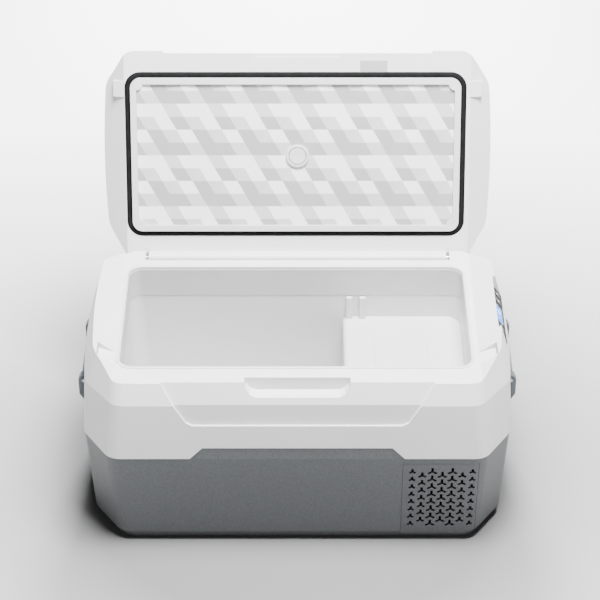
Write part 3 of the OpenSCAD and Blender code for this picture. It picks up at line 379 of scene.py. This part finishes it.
def arc(x, y, radius, start, end, steps):
    """Points of an arc, its angles in degrees."""
    return [(x + radius * math.cos(math.radians(start + (end - start) * i / steps)),
             y + radius * math.sin(math.radians(start + (end - start) * i / steps))) for i in range(steps + 1)]


def round_rect(x0, y0, x1, y1, r, steps=12):
    return (arc(x0 + r, y0 + r, r, 180, 270, steps) + arc(x1 - r, y0 + r, r, 270, 360, steps)
            + arc(x1 - r, y1 - r, r, 0, 90, steps) + arc(x0 + r, y1 - r, r, 90, 180, steps))


def ring_sweep(box, radius, profile, steps=16):
    """Sweeps a closed profile of (inset, z) points round a rectangle with round corners."""
    x0, y0, x1, y1 = box
    points = []
    for inset, z in profile:
        outline = round_rect(x0 + inset, y0 + inset, x1 - inset, y1 - inset, radius - inset, steps)
        points += [(x, y, z) for x, y in outline]
    return points, grid_faces(len(profile), 4 * (steps + 1))


def lathe(profile, steps=48):
    """Turns a profile of (radius, z) points, from axis to axis, about Z."""
    points, faces = [], []
    for radius, z in profile:
        points += [(x, y, z) for x, y in arc(0, 0, max(radius, 0.001), 0, 360, steps)[:-1]]
    faces = grid_faces(len(profile), steps, close_rows=False)
    faces.append(tuple(range(steps)))
    faces.append(tuple(range((len(profile) - 1) * steps, len(profile) * steps)))
    return points, faces


def lid_place():
    """Turns a point of the closed lid to where it is at rest, with the lid open."""
    hinge = next(joint for joint in frame["joints"] if joint["name"] == "lid_hinge")
    centre = Matrix.Translation(Vector(hinge["pos_m"]) / MM)
    turned = Matrix.Rotation(-math.radians(hinge["range_deg"][1]), 4, Vector(hinge["axis"]))
    return centre @ turned @ centre.inverted()


def relief_mesh():
    """The relief, clipped to its field and closed behind, with each face's painted shade as its material index."""
    b = bmesh.new()
    net = {}
    for j in range(RELIEF_ROWS):
        for i in range(-RELIEF_COLUMNS, RELIEF_COLUMNS):
            x = RELIEF_X + RELIEF_CELL * (i + j / 2)
            if FIELD[0] - 2 * RELIEF_CELL < x < FIELD[2] + 2 * RELIEF_CELL:
                level = RELIEF_LEVELS[j % 4][(i - j // 4) % 3]
                net[i, j] = b.verts.new((x, RELIEF_Y + RELIEF_ROW * j, FIELD_Z - 0.3 - RELIEF_STEP * level))
    for i, j in net:
        corners = [net.get(key) for key in ((i, j), (i + 1, j), (i + 1, j + 1), (i, j + 1))]
        if None not in corners:
            # each facet's painted shade, from its place in the pattern
            shade = RELIEF_PAINTED_SHADES[j % 4][(i - j // 4) % 3]
            b.faces.new([corners[k] for k in (0, 1, 3)]).material_index = shade
            b.faces.new([corners[k] for k in (1, 2, 3)]).material_index = shade
    sides = (((FIELD[0], 0, 0), (-1, 0, 0)), ((FIELD[2], 0, 0), (1, 0, 0)),
             ((0, FIELD[1], 0), (0, -1, 0)), ((0, FIELD[3], 0), (0, 1, 0)))
    for corner, normal in sides:
        bmesh.ops.bisect_plane(b, geom=b.verts[:] + b.edges[:] + b.faces[:], plane_co=corner,
                               plane_no=normal, clear_outer=True)
    grown = bmesh.ops.extrude_edge_only(b, edges=[e for e in b.edges if e.is_boundary])["geom"]
    for vertex in grown:
        if isinstance(vertex, bmesh.types.BMVert):
            vertex.co.z = FIELD_Z + 0.5
    bmesh.ops.contextual_create(b, geom=[e for e in b.edges if e.is_boundary])
    b.verts.index_update()
    points = [v.co.copy() for v in b.verts]
    faces = [tuple(v.index for v in f.verts) for f in b.faces]
    painted_shades = [f.material_index for f in b.faces]
    b.free()
    return points, faces, painted_shades


def make_relief(materials, place):
    """The sunk field of the lid liner: slanted facets whose corners stand at three levels, each facet tinted
    lighter or darker as painted light and shade for its slope.
    """
    points, faces, painted_shades = relief_mesh()
    relief = piece("lid_relief", points, faces, materials[0], "lid", "white_liner", place, smooth=1.0, bevel=0.3)
    for material in materials[1:]:
        relief.data.materials.append(material)
    relief.data.polygons.foreach_set("material_index", painted_shades)


def make_seal(material, place):
    """The lid's rubber seal: a soft bulb between two thin lips."""
    low, high = SEAL_FACE_Z, SEAL_FACE_Z + 4.1
    half = [(0.0, high), (0.0, low + 2.2), (0.25, low + 1.1), (0.9, low + 0.55), (1.5, low + 0.75),
            (1.9, low + 0.3), (2.7, low)]
    profile = half + [(SEAL_W / 2, low - 0.08)] + [(SEAL_W - inset, z) for inset, z in reversed(half)]
    points, faces = ring_sweep(SEAL_BOX, SEAL_R, profile)
    seal = piece("lid_seal", points, faces, material, "lid", "seal_rubber", place, smooth=50.0)
    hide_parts("lid_gasket")


def make_plug(material, place):
    """The filler plug in the middle of the lid liner, with its collar."""
    top, foot = PLUG_FACE_Z, FIELD_Z + 2.5
    cap = lathe([(0, top + 0.1), (8.4, top + 0.1), (8.9, top), (10.3, top), (11.0, top + 0.3),
                 (11.2, top + 0.9), (11.2, foot), (0, foot)])
    ring = [(12.1, top + 7), (12.1, top + 0.6), (12.6, top + 0.05), (14.5, top + 0.05), (15.2, top + 0.4),
            (15.4, top + 1.0), (15.4, top + 7)]
    collar_points = [(x, y, z) for radius, z in ring for x, y in arc(0, 0, radius, 0, 360, 64)[:-1]]
    collar = collar_points, grid_faces(len(ring), 64)
    centre = place @ Matrix.Translation((0, PLUG_Y, 0))
    plug = piece("lid_plug", *join(cap, collar), material, "lid", "white_liner", centre, smooth=40.0)
    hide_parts("lid_foam_plug")


def make_collar(material):
    """The collar round the top of the tub, standing a little proud of the wall under it, in a darker tone that is
    painted shade for its upright face.
    """
    band = [(-0.3, COLLAR_Z[1]), (0.6, COLLAR_Z[1]), (0.6, COLLAR_Z[0]), (-0.3, COLLAR_Z[0])]
    piece("tub_collar", *ring_sweep(TUB_BOX, TUB_R, band), material, "cabinet", "white_liner", smooth=50.0)


def make_catch_ribs(material):
    """The fine upright ribs on the outer end of each catch pocket, in a grey that is painted shade to show them
    against the white shell.
    """
    for side, name in ((-1, "left"), (1, "right")):
        ribs = [prism(arc(side * POCKET_X, y, 1.0, 0, 360, 16)[:-1], POCKET_RIB_Z[0], POCKET_RIB_Z[1])
                for y in POCKET_RIB_Y]
        piece("catch_ribs_" + name, *join(*ribs), material, "cabinet", "white_shell", smooth=60.0)


def seven_segment(digit, x, y, size):
    """The lit bars of one numeral, as outlines on the display; x runs to the right and y up."""
    w, h, t = size * 0.5, size, size * 0.11
    gap = t * 0.7
    bars = {"top": (0, h, w, h), "middle": (0, h / 2, w, h / 2), "bottom": (0, 0, w, 0),
            "left_up": (0, h / 2, 0, h), "left_low": (0, 0, 0, h / 2),
            "right_up": (w, h / 2, w, h), "right_low": (w, 0, w, h / 2)}
    lit = {"-": ("middle",), "1": ("right_up", "right_low"), "8": tuple(bars)}
    outlines = []
    for name in lit[digit]:
        x0, y0, x1, y1 = bars[name]
        if y0 == y1:
            outlines.append([(x0 + gap, y0 - t / 2), (x1 - gap, y0 - t / 2), (x1 - gap / 3, y0),
                             (x1 - gap, y0 + t / 2), (x0 + gap, y0 + t / 2), (x0 + gap / 3, y0)])
        else:
            outlines.append([(x0 - t / 2, y0 + gap), (x0, y0 + gap / 3), (x0 + t / 2, y0 + gap),
                             (x0 + t / 2, y1 - gap), (x0, y1 - gap / 3), (x0 - t / 2, y1 - gap)])
    return [[(x + px, y + py) for px, py in outline] for outline in outlines]


def on_panel():
    """Turns a point of the control panel, x to its right, y up it and z out of it, to its place on the body."""
    slope = Matrix.Translation(PANEL_CENTRE) @ Matrix.Rotation(math.radians(90 - PANEL_TILT), 4, "Y")
    return slope @ Matrix(((0, -1, 0, 0), (1, 0, 0, 0), (0, 0, 1, 0), (0, 0, 0, 1)))


def ring_outline(radius, width, start, end, steps=28):
    """The outline of a flat ring, or of a part of one."""
    return arc(0, 0, radius, start, end, steps) + arc(0, 0, radius - width, end, start, steps)


def make_display(materials, place):
    """The figures in the display, and the thin frame round it."""
    bars = [bar for k, digit in enumerate(FIGURES)
            for bar in seven_segment(digit, FIGURE_X + k * FIGURE_STEP, -FIGURE_H / 2, FIGURE_H)]
    piece("display_figures", *join(*[prism(bar, -0.22, -0.08) for bar in bars]), materials["figures"], "cabinet",
          "display", place, smooth=20.0)
    x, y, r = RIM_OUTER
    outer = round_rect(-x, -y, x, y, r)
    x, y, r = RIM_INNER
    inner = round_rect(-x, -y, x, y, r)
    n = len(outer)
    points = [(x, y, z) for z in (-0.1, 0.06) for line in (outer, inner) for x, y in line]
    faces = [(a + i, a + (i + 1) % n, b + (i + 1) % n, b + i)
             for a, b in ((0, n), (n, 3 * n), (3 * n, 2 * n), (2 * n, 0)) for i in range(n)]
    piece("display_rim", points, faces, materials["mark"], "cabinet", "panel_gloss", place, smooth=30.0)


def make_button_marks(material, place):
    """A plain raised mark on each button: a broken ring with a bar, a ring with a dot, and two arrows."""
    bar = [(-0.28, 0.9), (0.28, 0.9), (0.28, 3.2), (-0.28, 3.2)]
    dot = arc(0, 0, 0.9, 0, 360, 20)[:-1]
    marks = {"power": [ring_outline(2.6, 0.55, 125, 415), bar],
             "set": [ring_outline(2.5, 0.55, 0, 359.9), dot],
             "up": [[(-2.4, -1.5), (2.4, -1.5), (0, 2.2)]],
             "down": [[(-2.4, 1.5), (0, -2.2), (2.4, 1.5)]]}
    for name, mark in marks.items():
        at = place @ Matrix.Translation((BUTTON_Y[name] - PANEL_CENTRE[1], 0, 0))
        piece(name + "_mark", *join(*[prism(outline, 0.45, 0.56) for outline in mark]), material,
              name + "_button", "button", at, smooth=30.0)


# All in millimetres, with the lid closed. Boxes are x0, y0, x1, y1.
TUB_BOX = (-227.0, -110.7, 222.0, 105.5)
TUB_R = 18.0
COLLAR_Z = (212.0, 254.0)
FIELD = (-215.3, -99.0, 210.3, 93.8)
FIELD_Z = 260.0
# how many steps each corner of the relief stands out, row by row
RELIEF_LEVELS = ((0, 1, 1), (1, 2, 1), (1, 1, 2), (2, 1, 1))
# painted light and shade of the facets between the corners, standing in for how light falls on their slopes: 0 is
# a painted lit facet, 1 a half-shaded one and 2 a shaded one
RELIEF_PAINTED_SHADES = ((1, 0, 0), (2, 1, 0), (0, 2, 1), (1, 2, 2))
RELIEF_STEP = 1.3
RELIEF_CELL = 20.3
RELIEF_ROW = 17.6
RELIEF_ROWS = 17
RELIEF_COLUMNS = 30
RELIEF_X = -183.0
RELIEF_Y = -72.6 - 4 * RELIEF_ROW
SEAL_BOX = (-231.4, -115.1, 226.4, 109.9)
SEAL_R = 21.4
SEAL_W = 7.5
SEAL_FACE_Z = 258.3
PLUG_Y = -1.4
PLUG_FACE_Z = 255.1
POCKET_X = 254.2
POCKET_RIB_Z = (264.3, 272.2)
POCKET_RIB_Y = (-102.4, -99.4, -96.4, -93.4, -90.4, -87.4, -84.4, -81.6)
PANEL_CENTRE = (264.9, 2.5, 255.35)
PANEL_TILT = 35.0
BUTTON_Y = {"power": -42, "set": -27, "up": 32, "down": 47}
FIGURES = "-18"
FIGURE_H = 7.2
FIGURE_STEP = 6.2
FIGURE_X = -8.4
# half its length, half its height and its corner radius, for each line of the display's frame
RIM_OUTER = (17.4, 6.9, 2.4)
RIM_INNER = (17.0, 6.5, 2.0)


def make_pieces(materials):
    """Every piece that the CAD doesn't have, or has only in a plainer form."""
    lid = lid_place()
    make_relief([materials[key] for key in ("painted_lit_facet", "painted_half_shade_facet", "painted_shade_grey")], lid)
    make_seal(materials["seal_rubber"], lid)
    make_plug(materials["white_liner"], lid)
    make_collar(materials["collar"])
    # the catch ribs take the grey facet tone as painted shade
    make_catch_ribs(materials["painted_shade_grey"])
    panel = on_panel()
    make_display(materials, panel)
    make_button_marks(materials["mark"], panel)


# ---------- studio ----------

def make_studio():
    """A plain pale floor with a painted shadow darkening it close round the object, a pale world, and soft light
    from overhead.
    """
    half = FLOOR_SIZE / 2
    mesh = bpy.data.meshes.new("floor")
    mesh.from_pydata([(-half, -half, 0), (half, -half, 0), (half, half, 0), (-half, half, 0)], [], [(0, 1, 2, 3)])
    floor = bpy.data.objects.new("floor", mesh)
    bpy.context.scene.collection.objects.link(floor)
    n = Nodes("floor")
    # painted shadow: the floor darkens towards the middle, under the object
    away = n.add("ShaderNodeVectorMath", operation="LENGTH")
    n.link(n.coords, away.inputs[0])
    shade = n.blend(n.spread(away.outputs["Value"], *FLOOR_SHADOW_FADE, 0.0, 1.0), FLOOR_PAINTED_SHADOW, FLOOR_FAR)
    n.link(shade, n.shader.inputs["Base Color"])
    n.link(n.spread(n.noise(3.0), 0.3, 0.7, 0.5, 0.6), n.shader.inputs["Roughness"])
    mesh.materials.append(n.material)
    make_world()
    for name, place, target, width, power in LIGHTS:
        add_light(name, place, target, width, power)


def make_world():
    """A dim world, shown as a pale one where the camera sees it past the floor."""
    world = bpy.data.worlds.new("world")
    world.use_nodes = True
    tree = world.node_tree
    background = tree.nodes["Background"]
    background.inputs["Color"].default_value = (1.0, 1.0, 1.0, 1.0)
    strength = tree.nodes.new("ShaderNodeMapRange")
    strength.inputs["To Min"].default_value = WORLD_LIGHT
    strength.inputs["To Max"].default_value = WORLD_SEEN
    tree.links.new(tree.nodes.new("ShaderNodeLightPath").outputs["Is Camera Ray"], strength.inputs["Value"])
    tree.links.new(strength.outputs["Result"], background.inputs["Strength"])
    bpy.context.scene.world = world


FLOOR_SIZE = 12.0
# distances from the middle over which the floor's painted shadow fades out
FLOOR_SHADOW_FADE = (0.3, 1.0)
# colour of the painted shadow close round the object
FLOOR_PAINTED_SHADOW = (0.2, 0.2, 0.203)
FLOOR_FAR = (0.95, 0.95, 0.95)
# how bright the world is to the object, and straight to the camera
WORLD_LIGHT = 0.06
WORLD_SEEN = 0.9
# name, place, target, width of the square lamp, power in watts
LIGHTS = (
    ("key", (0.2, -0.2, 2.2), (0.0, 0.0, 0.1), 0.8, 230.0),
    ("front", (0.6, -2.4, 0.9), (0.0, 0.0, 0.15), 1.2, 9.0),
    ("backdrop", (0.0, 1.7, 1.3), (0.0, 1.45, 0.0), 0.4, 125.0),
)


def add_light(name, place, target, size, power):
    data = bpy.data.lights.new(name, "AREA")
    data.size = size
    data.energy = power
    light = bpy.data.objects.new(name, data)
    light.location = place
    light.rotation_euler = (Vector(target) - Vector(place)).to_track_quat("-Z", "Y").to_euler()
    bpy.context.scene.collection.objects.link(light)


make_camera()
MATERIALS = make_materials()
finish_nodes(MATERIALS)
make_pieces(MATERIALS)
make_studio()
